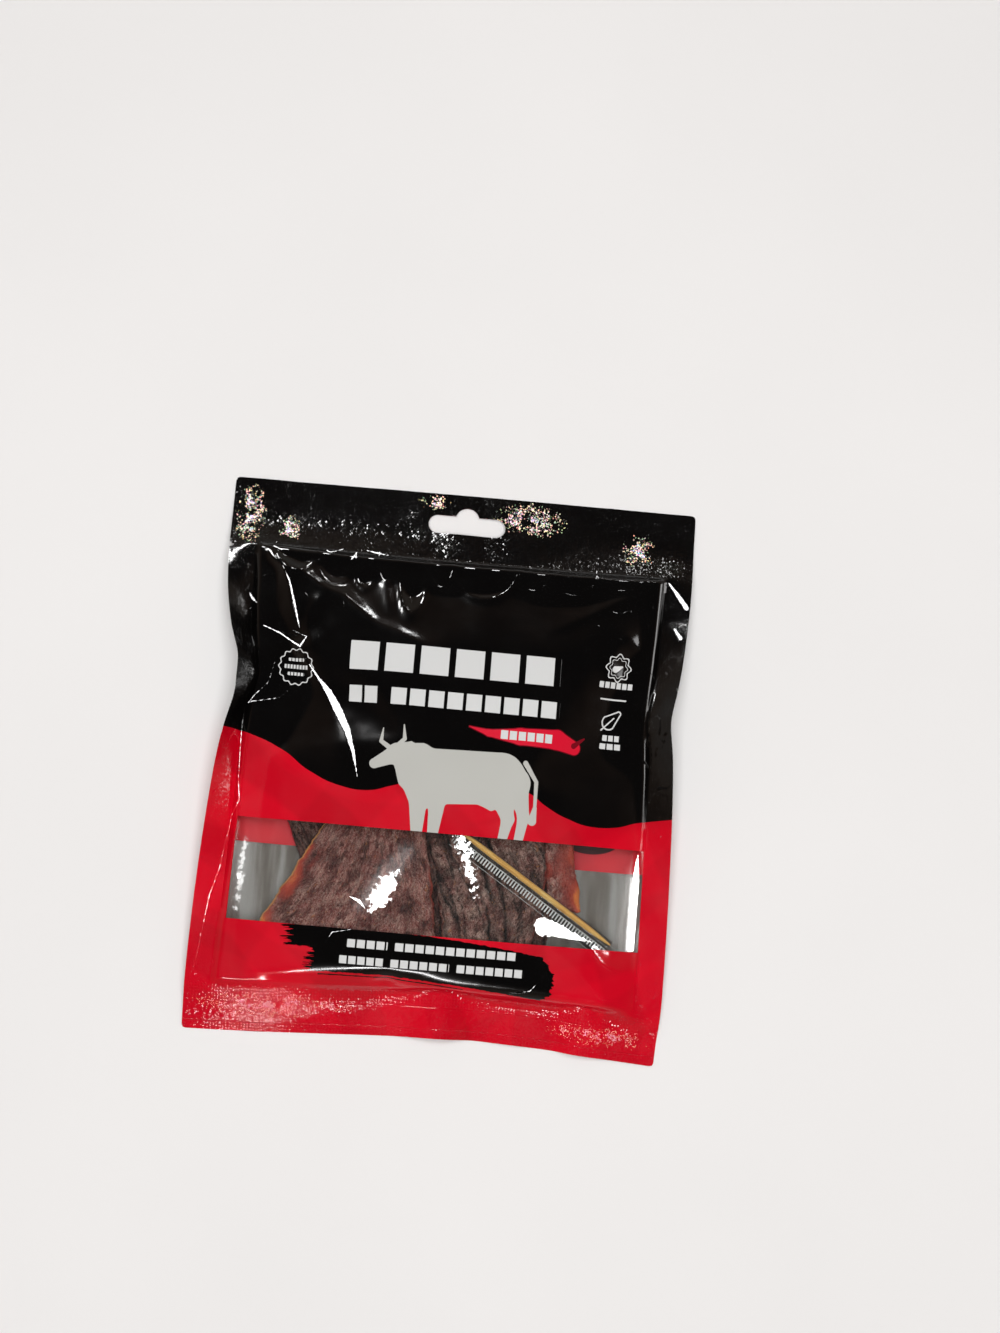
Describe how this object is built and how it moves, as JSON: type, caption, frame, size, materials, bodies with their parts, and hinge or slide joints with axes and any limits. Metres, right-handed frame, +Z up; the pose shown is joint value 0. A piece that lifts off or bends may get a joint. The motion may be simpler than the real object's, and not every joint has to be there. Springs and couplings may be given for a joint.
{
  "type": "beef jerky pouch",
  "caption": "Sealed flat film pouch of beef jerky lying on its back, with a hang slot in its header and clear windows that show the meat strips and a wrapped toothpick.",
  "frame": {"origin": "on the resting plane, under the middle of the pouch", "axes": "+X across the pouch, +Y along it towards the header with the hang slot, +Z up out of the printed front"},
  "size_m": [0.165, 0.195, 0.0156],
  "materials": {
    "printed_film": "glossy printed laminate film, black above and red below",
    "clear_film": "thin clear glossy plastic film",
    "dried_beef": "dark fibrous dried beef with a slight oily gloss",
    "birch_wood": "pale bare birch"
  },
  "bodies": {
    "root": {"pouch": "printed_film", "window_front": "clear_film", "window_back": "clear_film", "jerky_strip_left": "dried_beef", "jerky_strip_middle": "dried_beef", "jerky_strip_right": "dried_beef", "jerky_strip_back_left": "dried_beef", "jerky_strip_back_middle": "dried_beef", "toothpick": "birch_wood", "toothpick_sleeve": "clear_film"}
  },
  "joints": []
}
